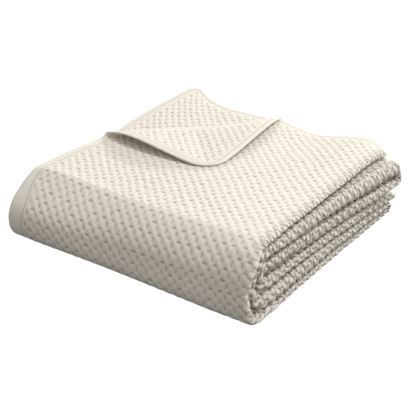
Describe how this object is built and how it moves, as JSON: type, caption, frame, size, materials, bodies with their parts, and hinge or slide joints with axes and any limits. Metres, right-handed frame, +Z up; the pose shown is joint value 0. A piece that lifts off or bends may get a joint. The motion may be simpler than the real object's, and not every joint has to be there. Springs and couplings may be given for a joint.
{
  "type": "folded bedspread",
  "caption": "Folded bedspread of beige puffed basket-weave cloth, one hemmed corner turned back on top and its folded layers showing at the end.",
  "frame": {"origin": "middle of the folded pack's outline, on the surface that it lies on", "axes": "+Z up, the pack's thickness; +X from the hemmed end to the folded end; +Y from the rounded front to the back"},
  "size_m": [0.461, 0.5002, 0.12],
  "materials": {
    "woven_cloth": "matt puffed basket weave in beige linen and cotton yarn"
  },
  "bodies": {
    "root": {"bedspread": "woven_cloth"}
  },
  "joints": []
}
